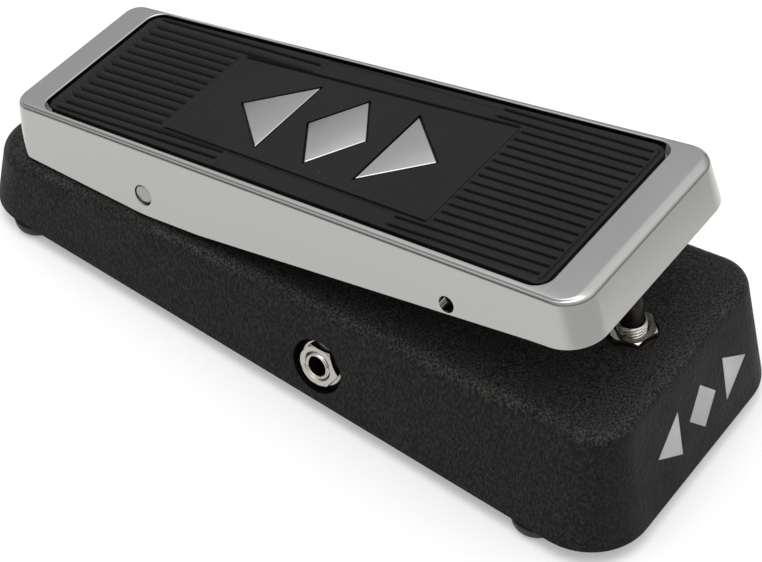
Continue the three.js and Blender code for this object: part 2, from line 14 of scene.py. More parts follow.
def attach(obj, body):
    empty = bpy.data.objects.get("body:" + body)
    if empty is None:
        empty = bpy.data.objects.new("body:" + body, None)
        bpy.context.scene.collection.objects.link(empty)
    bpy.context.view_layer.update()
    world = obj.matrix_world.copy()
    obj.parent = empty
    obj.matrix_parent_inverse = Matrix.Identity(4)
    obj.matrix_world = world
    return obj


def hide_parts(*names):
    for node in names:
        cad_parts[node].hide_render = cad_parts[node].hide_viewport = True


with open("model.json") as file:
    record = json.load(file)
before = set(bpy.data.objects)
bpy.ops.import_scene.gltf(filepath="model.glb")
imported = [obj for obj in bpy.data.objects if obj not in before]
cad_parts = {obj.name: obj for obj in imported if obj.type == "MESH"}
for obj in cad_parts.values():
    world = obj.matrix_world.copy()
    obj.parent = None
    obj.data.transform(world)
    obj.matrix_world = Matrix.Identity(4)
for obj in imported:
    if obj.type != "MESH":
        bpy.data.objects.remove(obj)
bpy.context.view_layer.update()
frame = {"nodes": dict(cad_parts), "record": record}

MM = 0.001
RAD = math.radians
# degrees over which an edge is shaded sharp
SHARP, SHARP_BEVELLED = 35, 50
# metres within which the points that a cut leaves are merged
MERGE = 1e-6

# ---------------------------------------------------------------- the frame's dimensions
FOOT_HEIGHT = 5
BASE_LENGTH, BASE_HALF_TOE, BASE_HALF_HEEL, BASE_CORNER = 254, 52.6, 40.1, 20
BASE_DRAFT, BASE_WALL, BASE_ROUND, CAVITY_ROUND = RAD(12), 3.5, 5, 5.5
DECK_HEIGHT, DECK_SLOPE = 36.7, math.atan(0.08)
PIVOT = Vector((0, -54.8, 41.2))
TILT = RAD(10.68)
TOP, WALL, DRAFT = 16.9, 3, RAD(9)
TOE, HEEL, HALF_TOE, HALF_HEEL = 162.9, -55.8, 38.5, 30.6
RIM_CROWN, LIP_ROUND = 0.14, 0.5
# (inwards from the wall, down from the top) across the treadle's upper edge, where the last
# point of each is the foot of the edge; the side's profile blends into the toe's round the corner
SIDE_EDGE = [(1.2, 0), (1.0, 0.03), (0.85, 0.14), (0.69, 0.46), (0.65, 0.56), (0.5, 0.62),
             (0.36, 0.7), (0.21, 1.02), (0.1, 1.28), (0.02, 1.55), (0, 1.9)]
TOE_EDGE = [(3.1, 0), (2.6, 0.03), (1.95, 0.14), (1.3, 0.32), (0.9, 0.5), (0.55, 0.72),
            (0.3, 0.96), (0.16, 1.18), (0.07, 1.42), (0.02, 1.7), (0, 2.0)]
RECESS = dict(toe=150.2, heel=-45, half_toe=35.5, half_heel=29.1, r_toe=5.5, r_heel=5.5)
UNDERSIDE, SLAB = TOP - 3, TOP - 5.4
SKIRT = [(-70, -0.6), (-1, -7.4), (22, -7.2), (147, 1), (175, 1.9)]
PIVOT_ROD = dict(radius=3.2, half=35, edge=0.3, hole=3.5, boss=6.2, boss_from=30.5, boss_to=33.6)
RACK_PIN = dict(v=118.4, h=2.6, r=1.6, ear=4, ear_x=6.5, side_hole=2.65)
BUMPER_V, BUMPER_BOSS = -42, 6
STRIKE_PAD_V, STRIKE_PAD_HOLE = 153.7, 3.4
# recess to panel are the well in the wall and the web behind it; `seat` sinks the nut into the well
JACK = dict(y=18.4, z=17.5, recess=9.2, depth=3.1, panel=2.2, bore=3.3, seat=-0.9, clear=5.1,
            barrel=4.45, root=4.05, pitch=0.8, hex=12.9, nut_bore=4.75, nut_turn=2, crown=1.02)
# the solid corner left behind a jack, in the wall's own frame
JACK_BOSS = dict(low=(-13, -12.5), high=(9.3, 12.5), top=9)
POWER = dict(y=-22, z=18.5, barrel=5.6)
SWITCH = dict(y=99.5, seat=8.0, depth=0.6, barrel=4.6, bore=3.9, root=3.95, pitch=1.15,
              hex=13.5, nut_bore=4.9, nut_turn=15, crown=1.06)
FEET = {"toe_right": (43.6, 97.5), "toe_left": (-43.6, 97.5),
        "heel_right": (33.8, -105), "heel_left": (-33.8, -105)}
RACK_SLOT = ((-4.4, 57.9), (4.4, 66))
MAT_MOAT, MAT_TOP, MAT_BOTTOM = 1.5, TOP - 0.3, TOP - 2.7
EMBLEM = dict(middle=53, gap=19, arrow=18, half=16.5, lozenge=11)
CLEARANCE = 0.3
FOOT_BOSS, FOOT_SCREW_HOLE = 4.5, 2.1
# an upright in the housing that holds the pivot's bushing: its round top, its foot, and x from, to
EAR = dict(radius=7.5, half_foot=9.5, near=20, far=28, bore=5.1)

deck_at = lambda y: DECK_HEIGHT + math.tan(DECK_SLOPE) * y
slant = math.atan2(BASE_HALF_TOE - BASE_HALF_HEEL, BASE_LENGTH)
wall_at = lambda y, z: (BASE_HALF_HEEL + (BASE_HALF_TOE - BASE_HALF_HEEL)
                        * (y / BASE_LENGTH + 0.5) - math.tan(BASE_DRAFT) * (z - FOOT_HEIGHT))

# frames: each turns a place's own millimetres into the part's
TREADLE = Matrix.Translation(PIVOT) @ Matrix.Rotation(TILT, 4, "X")
SWITCH_FRAME = (Matrix.Translation((0, SWITCH["y"], deck_at(SWITCH["y"])))
                @ Matrix.Rotation(DECK_SLOPE, 4, "X"))
TOE_WALL = (Matrix.Translation((0, BASE_LENGTH / 2, FOOT_HEIGHT))
            @ Matrix.Rotation(BASE_DRAFT - math.pi / 2, 4, "X") @ Matrix.Rotation(math.pi, 4, "Z"))


def wall_frame(side, y, z):
    """+Z points straight out of the drafted side wall."""
    turn = -slant if side > 0 else math.pi + slant
    return (Matrix.Translation((side * wall_at(y, z), y, z)) @ Matrix.Rotation(turn, 4, "Z")
            @ Matrix.Rotation(math.pi / 2 - BASE_DRAFT, 4, "Y"))


# ---------------------------------------------------------------- meshes
def make(name, verts, faces, place=Matrix(), sharp=SHARP):
    """a named mesh object from millimetres, smooth but for its sharp edges"""
    mesh = bpy.data.meshes.new(name)
    mesh.from_pydata([(place @ Vector(v)) * MM for v in verts], [], faces)
    mesh.update()
    bm = bmesh.new()
    bm.from_mesh(mesh)
    bmesh.ops.recalc_face_normals(bm, faces=bm.faces)
    bm.to_mesh(mesh)
    bm.free()
    piece = bpy.data.objects.new(name, mesh)
    bpy.context.scene.collection.objects.link(piece)
    smooth(piece, sharp)
    return piece


def smooth(piece, sharp=SHARP):
    piece.data.shade_smooth()
    piece.data.set_sharp_from_angle(angle=RAD(sharp))


def bands(count, ring, closed=False):
    """quads between consecutive rings of `ring` points; closed joins the last to the first"""
    faces = []
    for k in range(count if closed else count - 1):
        a, b = k * ring, (k + 1) % count * ring
        faces += [(a + i, a + (i + 1) % ring, b + (i + 1) % ring, b + i) for i in range(ring)]
    return faces


def many(name, shapes, place=Matrix()):
    """one mesh of several lofts; each skins rings of equal length and caps both ends"""
    verts, faces = [], []
    for rings in shapes:
        n, base = len(rings[0]), len(verts)
        verts += [p for ring in rings for p in ring]
        local = bands(len(rings), n)
        local += [tuple(range(n))[::-1], tuple(range((len(rings) - 1) * n, len(rings) * n))]
        faces += [tuple(base + i for i in face) for face in local]
    return make(name, verts, faces, place)


def loft(name, rings, place=Matrix()):
    return many(name, [rings], place)


def turned(name, profile, place=Matrix(), sides=64):
    """(radius, height) points turned about +Z; on-axis ends close, other profiles join up"""
    on_axis = profile[0][0] == 0 and profile[-1][0] == 0
    body = profile[1:-1] if on_axis else profile
    rings = [[(r * math.cos(t), r * math.sin(t), h)
              for t in (2 * math.pi * i / sides for i in range(sides))] for r, h in body]
    if on_axis:
        return loft(name, rings, place)
    return make(name, [p for ring in rings for p in ring],
                bands(len(rings), sides, closed=True), place)


def prism(name, outline, low, high, place=Matrix()):
    return loft(name, [[(x, y, low) for x, y in outline], [(x, y, high) for x, y in outline]],
                place)


def block(name, low, high, place=Matrix()):
    (x0, y0, z0), (x1, y1, z1) = low, high
    return prism(name, [(x0, y0), (x1, y0), (x1, y1), (x0, y1)], z0, z1, place)


def rod(name, radius, low, high, place=Matrix(), sides=48):
    circle = [(radius * math.cos(2 * math.pi * i / sides),
               radius * math.sin(2 * math.pi * i / sides)) for i in range(sides)]
    return prism(name, circle, low, high, place)


def modify(piece, kind, **settings):
    """adds a modifier with these settings and applies it"""
    modifier = piece.modifiers.new("step", kind)
    for key, value in settings.items():
        setattr(modifier, key, value)
    bpy.context.view_layer.objects.active = piece
    bpy.ops.object.modifier_apply(modifier=modifier.name)


def boolean(piece, tools, operation):
    """cuts or joins the tools one after another; they are used up"""
    for tool in tools:
        modify(piece, "BOOLEAN", solver="EXACT", operation=operation, object=tool)
        bpy.data.objects.remove(tool)
    bm = bmesh.new()
    bm.from_mesh(piece.data)
    bmesh.ops.remove_doubles(bm, verts=bm.verts, dist=MERGE)
    bmesh.ops.dissolve_degenerate(bm, edges=bm.edges, dist=MERGE)
    bm.to_mesh(piece.data)
    bm.free()
    smooth(piece)
    return piece


def even_shading(piece):
    """large flat faces keep their own normal, so cuts in them leave no streaks"""
    modify(piece, "WEIGHTED_NORMAL", mode="FACE_AREA", weight=50, keep_sharp=True)
    return piece


def bevel(piece, width, segments=3, angle=30):
    modify(piece, "BEVEL", width=width * MM, segments=segments, limit_method="ANGLE",
           angle_limit=RAD(angle), harden_normals=False)
    smooth(piece, SHARP_BEVELLED)
    return piece


def along_x(x, v, h):
    """places a piece drawn along +Z so that it runs along +X from (x, v, h)"""
    return Matrix.Translation((x, v, h)) @ Matrix.Rotation(math.pi / 2, 4, "Y")


def onto_treadle(piece):
    """moves a mesh drawn in the treadle's frame to where the treadle is at rest"""
    piece.data.transform(Matrix.Scale(MM, 4) @ TREADLE @ Matrix.Scale(1 / MM, 4))
    return piece


def rounded_trapezoid(toe, heel, half_toe, half_heel, r_toe, r_heel, arc=14, side=48, end=10):
    """counter-clockwise outline points with their outward normals; `arc`, `side` and `end` are
    the steps of a corner, a side and an end"""
    lean = math.atan2(half_toe - half_heel, toe - heel)
    points = []
    corners = []
    for sx, sy, y, half, radius in ((1, 1, toe, half_toe, r_toe), (-1, 1, toe, half_toe, r_toe),
                                    (-1, -1, heel, half_heel, r_heel),
                                    (1, -1, heel, half_heel, r_heel)):
        flank = math.atan2(-math.sin(lean), sx * math.cos(lean))
        straight = sy * math.pi / 2
        cy = y - sy * radius
        cx = sx * (half + (cy - y) * math.tan(lean) - radius / math.cos(lean))
        first, last = (flank, straight) if sx == sy else (straight, flank)
        turn = (last - first) % (2 * math.pi)
        corners.append([((cx + radius * math.cos(first + turn * i / arc),
                          cy + radius * math.sin(first + turn * i / arc)),
                         (math.cos(first + turn * i / arc), math.sin(first + turn * i / arc)))
                        for i in range(arc + 1)])
    for k, corner in enumerate(corners):
        points += corner
        (p, n), (q, _) = corner[-1], corners[(k + 1) % 4][0]
        steps = end if k % 2 == 0 else side
        points += [((p[0] + (q[0] - p[0]) * i / steps, p[1] + (q[1] - p[1]) * i / steps), n)
                   for i in range(1, steps)]
    return points


def ring_at(outline, inset, height):
    """the outline moved inwards by inset(p, n) and lifted to height(x, y, n)"""
    ring = []
    for p, n in outline:
        d = inset(p, n) if callable(inset) else inset
        x, y = p[0] - n[0] * d, p[1] - n[1] * d
        ring.append((x, y, height(x, y, n) if callable(height) else height))
    return ring


# ---------------------------------------------------------------- materials
def material(name, colour, rough, metal=0.0):
    made = bpy.data.materials.new(name)
    made.use_nodes = True
    tree = made.node_tree
    shader = tree.nodes["Principled BSDF"]
    shader.inputs["Base Color"].default_value = (*colour, 1)
    shader.inputs["Roughness"].default_value = rough
    shader.inputs["Metallic"].default_value = metal
    return made, tree, shader


def node(tree, kind, inputs=(), **settings):
    made = tree.nodes.new("ShaderNode" + kind)
    for key, value in settings.items():
        setattr(made, key, value)
    for key, value in dict(inputs).items():
        if isinstance(value, bpy.types.NodeSocket):
            tree.links.new(value, made.inputs[key])
        else:
            made.inputs[key].default_value = value
    return made


def ramp(tree, source, stops):
    made = tree.nodes.new("ShaderNodeValToRGB")
    elements = made.color_ramp.elements
    while len(elements) < len(stops):
        elements.new(0.5)
    for element, (at, value) in zip(elements, stops):
        element.position = at
        element.color = (*value, 1) if isinstance(value, tuple) else (value, value, value, 1)
    tree.links.new(source, made.inputs["Fac"])
    return made.outputs["Color"]


def grain(tree, scale, detail=3.0, roughness=0.55, stretch=(1, 1, 1)):
    """noise whose features repeat `scale` times a metre"""
    where = node(tree, "TexCoord").outputs["Object"]
    where = node(tree, "Mapping", {"Vector": where, "Scale": stretch}).outputs["Vector"]
    return node(tree, "TexNoise", {"Vector": where, "Scale": scale, "Detail": detail,
                                   "Roughness": roughness})


def bump(tree, shader, height, depth, strength=1.0):
    made = node(tree, "Bump", {"Height": height, "Distance": depth * MM, "Strength": strength})
    tree.links.new(made.outputs["Normal"], shader.inputs["Normal"])


def crinkle_paint():
    made, tree, shader = material("crinkle_paint", (0.02, 0.02, 0.02), 0.55)
    shader.inputs["Specular IOR Level"].default_value = 0.1
    # crumbs on the deck, drawn out into fine runs on the walls
    crumbs = grain(tree, 1650, detail=3.2, roughness=0.8, stretch=(1, 1, 0.36))
    pebbles = node(tree, "TexVoronoi", {"Vector": node(tree, "TexCoord").outputs["Object"],
                                        "Scale": 820, "Smoothness": 0.6},
                   feature="SMOOTH_F1")
    relief = node(tree, "Math", {0: crumbs.outputs["Fac"], 1: pebbles.outputs["Distance"]},
                  operation="SUBTRACT")
    bump(tree, shader, relief.outputs[0], 0.22, 0.8)
    patches = grain(tree, 42, detail=5, roughness=0.65)
    # the crumbs' specks carry painted glints of the light from above
    specks = ramp(tree, crumbs.outputs["Fac"], [(0.45, 0.0), (0.68, 1.0)])
    facing = node(tree, "SeparateXYZ", {0: node(tree, "NewGeometry").outputs["Normal"]})
    # lighter where the surface rolls over from the deck to the walls: partly scuffed wear, partly a
    # painted highlight where the rounding catches the light from above
    ridge = ramp(tree, facing.outputs["Z"], [(0.3, 0.0), (0.62, 0.8), (0.8, 0.8), (0.985, 0.15)])
    ridge_wear_and_sheen = node(tree, "Math", {0: ridge, 1: ramp(tree, patches.outputs["Fac"],
                                                   [(0.4, 0.15), (0.62, 1.0)])},
                  operation="MULTIPLY")
    light = node(tree, "Math", {0: specks, 1: ridge_wear_and_sheen.outputs[0]}, operation="MULTIPLY")
    # painted highlights on the crumbs: the flat deck, facing the light from above, shows its crumbs
    # more than the walls do, and the toe wall, in painted shade, shows them least
    walls = ramp(tree, facing.outputs["Y"], [(0.3, (0.029, 0.0286, 0.0273)),
                                             (0.95, (0.0165, 0.0163, 0.0155))])
    level = ramp(tree, facing.outputs["Z"], [(0.4, 0.0), (0.9, 1.0)])
    tint = node(tree, "Mix", {"Factor": level, "A": walls, "B": (0.057, 0.0565, 0.055, 1)},
                data_type="RGBA")
    base = node(tree, "Mix", {"Factor": specks, "A": (0.0045, 0.0045, 0.0043, 1),
                              "B": tint.outputs[2]}, data_type="RGBA")
    # the ridge's painted highlight, with some scuffed wear, lightens its crumbs
    wear_and_highlight = node(tree, "Mix", {"Factor": light.outputs[0], "A": base.outputs[2],
                              "B": (0.075, 0.074, 0.071, 1)}, data_type="RGBA")
    tree.links.new(wear_and_highlight.outputs[2], shader.inputs["Base Color"])
    rough = ramp(tree, patches.outputs["Fac"], [(0.35, 0.5), (0.7, 0.66)])
    tree.links.new(rough, shader.inputs["Roughness"])
    return made


def plated(name, colour, rough, swirl=0.03, dull=0.0):
    """chrome or nickel: faint cloudiness in the gloss and the tint"""
    made, tree, shader = material(name, colour, rough, 1.0)
    cloud = grain(tree, 28, detail=4, roughness=0.6)
    tree.links.new(ramp(tree, cloud.outputs["Fac"], [(0.3, max(rough - swirl, 0.02)),
                                                     (0.7, rough + swirl)]),
                   shader.inputs["Roughness"])
    low = tuple(c * (1 - dull) for c in colour)
    tree.links.new(ramp(tree, cloud.outputs["Fac"], [(0.35, low), (0.65, colour)]),
                   shader.inputs["Base Color"])
    fine = grain(tree, 2600, detail=2)
    bump(tree, shader, fine.outputs["Fac"], 0.003, 0.25)
    return made


def moulded(name, colour, rough, relief=0.02, scale=1500, fleck=0.0, gloss=0.3):
    """rubber or plastic: a fine matt skin with slow colour variation"""
    made, tree, shader = material(name, colour, rough)
    shader.inputs["Specular IOR Level"].default_value = gloss
    slow = grain(tree, 35, detail=5, roughness=0.6)
    low = tuple(c * 0.8 for c in colour)
    high = tuple(min(1, c * 1.2) for c in colour)
    tint = ramp(tree, slow.outputs["Fac"], [(0.35, low), (0.68, high)])
    if fleck:
        dust = ramp(tree, grain(tree, 900, detail=1).outputs["Fac"], [(0.74, 0.0), (0.8, 1.0)])
        tint = node(tree, "Mix", {"Factor": node(tree, "Math", {0: dust, 1: fleck},
                                                 operation="MULTIPLY").outputs[0],
                                  "A": tint, "B": (0.2, 0.2, 0.19, 1)},
                    data_type="RGBA").outputs[2]
    tree.links.new(tint, shader.inputs["Base Color"])
    skin = grain(tree, scale, detail=3)
    tree.links.new(ramp(tree, skin.outputs["Fac"], [(0.3, rough - 0.06), (0.7, rough + 0.06)]),
                   shader.inputs["Roughness"])
    bump(tree, shader, skin.outputs["Fac"], relief, 0.6)
    return made


CHROME = plated("chrome_wall", (0.405, 0.403, 0.388), 0.10)
RIM = plated("chrome_rim", (0.425, 0.428, 0.428), 0.18, dull=0.03)
INLAY = plated("inlay_chrome", (0.44, 0.443, 0.443), 0.22)
NICKEL = plated("nickel", (0.50, 0.475, 0.43), 0.18, dull=0.12)
STEEL = plated("zinc_steel", (0.36, 0.355, 0.34), 0.34, dull=0.15)
DARK_STEEL = plated("dark_steel", (0.038, 0.034, 0.03), 0.36, dull=0.2)
BRASS = plated("brass", (0.6, 0.45, 0.2), 0.3, dull=0.2)
PAINT = crinkle_paint()
# the near-black lining of the jacks' wells is painted shade
WELL_SHADE = moulded("well_painted_shade", (0.0025, 0.0025, 0.0025), 0.6, relief=0.03, scale=900, gloss=0.08)
PLATE = moulded("plate_paint", (0.016, 0.016, 0.016), 0.5, relief=0.03, scale=900)
MAT = moulded("mat_rubber", (0.0045, 0.0048, 0.0047), 0.44, relief=0.03, scale=1800, fleck=0.12,
              gloss=0.19)
FOOT = moulded("foot_rubber", (0.011, 0.0105, 0.01), 0.55, relief=0.03)
NYLON = moulded("nylon", (0.62, 0.6, 0.52), 0.42)
BLACK = moulded("black_plastic", (0.012, 0.012, 0.012), 0.42)
BOARD = moulded("board_green", (0.03, 0.14, 0.05), 0.35)
FILM = moulded("film_red", (0.3, 0.045, 0.03), 0.3)
BEIGE = moulded("resistor_beige", (0.5, 0.36, 0.2), 0.4)
RED = moulded("lead_red", (0.4, 0.03, 0.02), 0.35)
WHITE = moulded("mark_paint", (0.42, 0.43, 0.42), 0.6, relief=0.05, scale=800)


def dress(piece, finish, body, slot, *nodes):
    """gives a piece its finish and body and hides the nodes it stands for; slot is not used"""
    piece.data.materials.clear()
    piece.data.materials.append(finish)
    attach(piece, body)
    if nodes:
        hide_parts(*nodes)
    return piece


# ---------------------------------------------------------------- housing
base_outline = rounded_trapezoid(BASE_LENGTH / 2, -BASE_LENGTH / 2, BASE_HALF_TOE, BASE_HALF_HEEL,
                                 BASE_CORNER, BASE_CORNER, arc=20, side=24, end=6)


def wedge(inside, bottom, radius, angles):
    """rings of a drafted wall that rounds over into the deck, `inside` smaller all round"""
    def start(y):
        return math.tan(BASE_DRAFT) * (deck_at(y) - inside
                                       - radius * (1 - math.sin(BASE_DRAFT)) - FOOT_HEIGHT)
    rings = [ring_at(base_outline, inside + math.tan(BASE_DRAFT) * (bottom - FOOT_HEIGHT), bottom)]
    for angle in angles:
        sweep = radius * (math.cos(BASE_DRAFT) - math.cos(angle))
        rings.append(ring_at(base_outline,
                             lambda p, n, s=sweep: inside + start(p[1]) + s,
                             lambda x, y, n, a=angle: deck_at(y) - inside
                             - radius * (1 - math.sin(a))))
    return rings


def pivot_ear(side):
    """an upright with a half-round top; its foot is sunk 2 mm into the deck"""
    arc = [(PIVOT.y + EAR["radius"] * math.cos(RAD(12 * i)),
            PIVOT.z + EAR["radius"] * math.sin(RAD(12 * i))) for i in range(16)]
    foot = deck_at(PIVOT.y) - 2
    outline = [(PIVOT.y - EAR["half_foot"], foot), (PIVOT.y + EAR["half_foot"], foot)] + arc
    # drawn in (y, z), run along x
    place = Matrix(((0, 0, 1, 0), (1, 0, 0, 0), (0, 1, 0, 0), (0, 0, 0, 1)))
    low, high = sorted((side * EAR["near"], side * EAR["far"]))
    return bevel(prism("ear", outline, low, high, place), 0.6, 2, 50)


def housing():
    # the round-over sweeps from the wall's draft, 12 degrees, to level, 90
    sweep = lambda steps: [RAD(12 + 78 * i / steps) for i in range(steps + 1)]
    outer = wedge(0, FOOT_HEIGHT, BASE_ROUND, sweep(14))
    # a small chamfer round the lower edge
    outer[0] = ring_at(base_outline, 0.08, FOOT_HEIGHT + 0.4)
    outer.insert(0, ring_at(base_outline, 0.4, FOOT_HEIGHT))
    # the bosses are what the hollow leaves standing, so none breaks the outer skin
    hollow = loft("hollow", wedge(BASE_WALL, FOOT_HEIGHT - 1, CAVITY_ROUND, sweep(6)))
    bosses = [rod("boss", FOOT_BOSS, FOOT_HEIGHT + 2.2, deck_at(y) + 5,
                  Matrix.Translation((x, y, 0))) for x, y in FEET.values()]
    bosses += [block("boss", (*JACK_BOSS["low"], -JACK["depth"] - JACK["panel"]),
                     (*JACK_BOSS["high"], JACK_BOSS["top"]),
                     wall_frame(side, JACK["y"], JACK["z"])) for side in (1, -1)]
    boolean(hollow, bosses, "DIFFERENCE")
    shell = loft("housing_shell", outer)
    boolean(shell, [hollow], "DIFFERENCE")
    boolean(shell, [pivot_ear(1), pivot_ear(-1)], "UNION")
    holes = [rod("hole", FOOT_SCREW_HOLE, 0, 22, Matrix.Translation((x, y, 0)), 24)
             for x, y in FEET.values()]
    for side in (1, -1):
        place = wall_frame(side, JACK["y"], JACK["z"])
        holes.append(rod("hole", JACK["recess"], -JACK["depth"], 12, place, 72))
        holes.append(rod("hole", JACK["clear"], -12, 0, place))
    holes.append(rod("hole", POWER["barrel"] + CLEARANCE, -9, 5,
                     wall_frame(-1, POWER["y"], POWER["z"])))
    (x0, y0), (x1, y1) = RACK_SLOT
    holes.append(block("hole", (x0, y0, 30), (x1, y1, 50)))
    holes.append(rod("hole", SWITCH["seat"], -SWITCH["depth"], 5, SWITCH_FRAME, 64))
    holes.append(rod("hole", SWITCH["barrel"] + CLEARANCE, -9, 9, SWITCH_FRAME))
    holes.append(rod("hole", EAR["bore"], -40, 40, along_x(0, PIVOT.y, PIVOT.z)))
    return boolean(shell, holes, "DIFFERENCE")


dress(housing(), PAINT, "base", "housing_paint", "base_housing")


# ---------------------------------------------------------------- treadle
def skirt(v):
    """the height of the treadle's lower edge, a shallow V"""
    for (v0, h0), (v1, h1) in zip(SKIRT, SKIRT[1:]):
        if v <= v1:
            return h0 + (h1 - h0) * (v - v0) / (v1 - v0)
    return SKIRT[-1][1]


def treadle():
    outline = rounded_trapezoid(TOE, HEEL, HALF_TOE, HALF_HEEL, 9, 6)
    recess = rounded_trapezoid(**RECESS)
    lean = math.tan(DRAFT)
    draft = lambda h: -lean * (TOP - h)
    toe_share = lambda n: max(0, n[1]) ** 4
    crown = lambda n: RIM_CROWN * abs(n[0]) ** 6
    low = lambda x, v, n: skirt(v)
    low_draft = lambda extra: (lambda p, n: extra + draft(skirt(p[1])))
    # up the recess and over its rounded lip
    rings = [ring_at(recess, 0, UNDERSIDE), ring_at(recess, 0, TOP - LIP_ROUND)]
    rings += [ring_at(recess, -LIP_ROUND * (1 - math.cos(RAD(a))),
                      TOP - LIP_ROUND * (1 - math.sin(RAD(a)))) for a in (30, 60, 90)]
    for (side_in, side_down), (toe_in, toe_down) in zip(SIDE_EDGE, TOE_EDGE):
        down = lambda n, a=side_down, b=toe_down: a + (b - a) * toe_share(n)
        rings.append(ring_at(outline,
                             lambda p, n, a=side_in, b=toe_in, d=down: draft(TOP - d(n))
                             + a + (b - a) * toe_share(n),
                             lambda x, v, n, d=down: TOP - crown(n) - d(n)))
    # down the wall, round its lower edge, up the inside and under the slab to the recess
    rings.append(ring_at(outline, low_draft(0), lambda x, v, n: skirt(v) + 0.5))
    rings.append(ring_at(outline, low_draft(0.15), lambda x, v, n: skirt(v) + 0.14))
    rings.append(ring_at(outline, low_draft(0.5), low))
    rings.append(ring_at(outline, low_draft(WALL - 0.5), low))
    rings.append(ring_at(outline, low_draft(WALL), lambda x, v, n: skirt(v) + 0.5))
    rings.append(ring_at(outline, WALL + draft(UNDERSIDE - 2), UNDERSIDE - 2))
    rings.append(ring_at(outline, WALL + 0.6 + draft(UNDERSIDE - 0.6), UNDERSIDE - 0.6))
    rings.append(ring_at(outline, WALL + 2 + draft(UNDERSIDE), UNDERSIDE))
    rings.append(ring_at(recess, -1, UNDERSIDE))
    rings.append(ring_at(recess, -1, SLAB))
    shell = loft("treadle_chrome", rings)
    inside = lambda side, near, far: (near, far) if side > 0 else (-far, -near)
    pivot_line, pin_line = along_x(0, 0, 0), along_x(0, RACK_PIN["v"], RACK_PIN["h"])
    extra = [rod("boss", PIVOT_ROD["boss"],
                 *inside(side, PIVOT_ROD["boss_from"], PIVOT_ROD["boss_to"]), pivot_line)
             for side in (1, -1)]
    v, h, ear, ear_x = (RACK_PIN[k] for k in ("v", "h", "ear", "ear_x"))
    extra += [block("ear", (side * ear_x - 1.5, v - ear, h - ear),
                    (side * ear_x + 1.5, v + ear, SLAB + 1)) for side in (1, -1)]
    extra.append(rod("boss", BUMPER_BOSS, 0, SLAB + 1, Matrix.Translation((0, BUMPER_V, 0))))
    boolean(shell, extra, "UNION")
    holes = [rod("hole", PIVOT_ROD["hole"], -60, 60, pivot_line, 64),
             rod("hole", RACK_PIN["r"] + CLEARANCE, -12, 12, pin_line)]
    holes += [rod("hole", RACK_PIN["side_hole"], *inside(side, 20, 60), pin_line)
              for side in (1, -1)]
    holes.append(rod("hole", STRIKE_PAD_HOLE, 0, UNDERSIDE,
                     Matrix.Translation((0, STRIKE_PAD_V, 0))))
    boolean(shell, holes, "DIFFERENCE")
    # the level rim is a little duller than the walls
    shell.data.materials.clear()
    shell.data.materials.append(CHROME)
    shell.data.materials.append(RIM)
    for face in shell.data.polygons:
        face.material_index = int(face.normal.z > 0.97 and face.center.z > (TOP - 0.6) * MM)
    return onto_treadle(shell)


shell = even_shading(treadle())
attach(shell, "treadle")
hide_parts("treadle_shell")

rod_half, rod_r, rod_edge = (PIVOT_ROD[k] for k in ("half", "radius", "edge"))
rod_body = [(0, -rod_half), (rod_r - rod_edge, -rod_half), (rod_r, rod_edge - rod_half),
            (rod_r, rod_half - rod_edge), (rod_r - rod_edge, rod_half), (0, rod_half)]
dress(turned("pivot_rod_turned", rod_body, TREADLE @ along_x(0, 0, 0)), STEEL,
      "treadle", "steel", "pivot_rod")


# ---------------------------------------------------------------- treadle mat
# grooves run lengthwise at both ends, RIB_PITCH apart on either side of the middle one; LEAD is
# how far a groove takes to come up to the surface
RIB_PITCH, RIBS, LEAD, HEEL_LEAD, TOE_LEAD = 3.767, 8, 1.5, 3.0, 1.1
# the smooth panel between them, and the strips beside it
PANEL = dict(heel=0.8, toe=103.4, half_heel=20.1, half_toe=23.95, depth=0.28)
STRIP = dict(heel=28.3, toe=91.5, outer=29.5, depth=0.28)
GROOVE_HEEL, GROOVE_TOE = -42.4, 146.4
# the lower band at the toe end
BAND = dict(width=1.1, drop=0.55, lip=0.4)
# how far the panel's heel end slopes, how far its other sides flare, and how far a cutter
# reaches above the mat
PANEL_SLOPE, PANEL_FLARE, ABOVE = 1.5, 0.35, 0.5
MAT_EDGE = 0.35
# the space round an inlay above and below its pocket's floor, and the floor's depth
POCKET = dict(gap=0.6, fit=0.02, depth=1.4)
# how far an inlay's face lies below the mat's, and its bevel
INLAY_DROP, INLAY_EDGE = 0.2, 0.4
# (half width, height) of the cutters, from their floor to above the mat
NARROW = [(0.4, -0.85), (0.56, -0.4), (0.72, -0.14), (0.98, 0.01), (1.15, 0.3)]
WAVE = [(0.14, -1.3), (0.4, -0.78), (0.74, -0.4), (1.14, -0.14), (1.62, 0.01), (1.8, 0.4)]
panel_half = lambda v: (PANEL["half_heel"] + (PANEL["half_toe"] - PANEL["half_heel"])
                        * (v - PANEL["heel"]) / (PANEL["toe"] - PANEL["heel"]))


def groove(start, end, half_section, lead_start, lead_end):
    """a cutter from (x, v) to (x, v) that plane ramps close at both ends"""
    (x0, v0), (x1, v1) = start, end
    section = [(-w, d) for w, d in half_section[::-1]] + list(half_section)
    length, clear = v1 - v0, 0.05
    ramp_floor = [(f, clear + (half_section[0][1] - clear) * f) for f in (0, 0.25, 0.5, 0.75, 1)]
    stations = [(lead_start * f, low) for f, low in ramp_floor]
    stations += [(length - lead_end * f, low) for f, low in ramp_floor[::-1]]
    rings = []
    for at, low in stations:
        x = x0 + (x1 - x0) * at / length
        rings.append([(x + w, v0 + at, MAT_TOP + max(d, low)) for w, d in section])
    return rings


def shallow(outline, depth):
    """a recess `depth` deep whose sides flare by PANEL_FLARE"""
    flare = PANEL_FLARE * (depth + ABOVE) / depth
    return [[(x, y, MAT_TOP - depth) for x, y in outline],
            [(x, y, MAT_TOP + ABOVE) for x, y in grown(outline, flare)]]


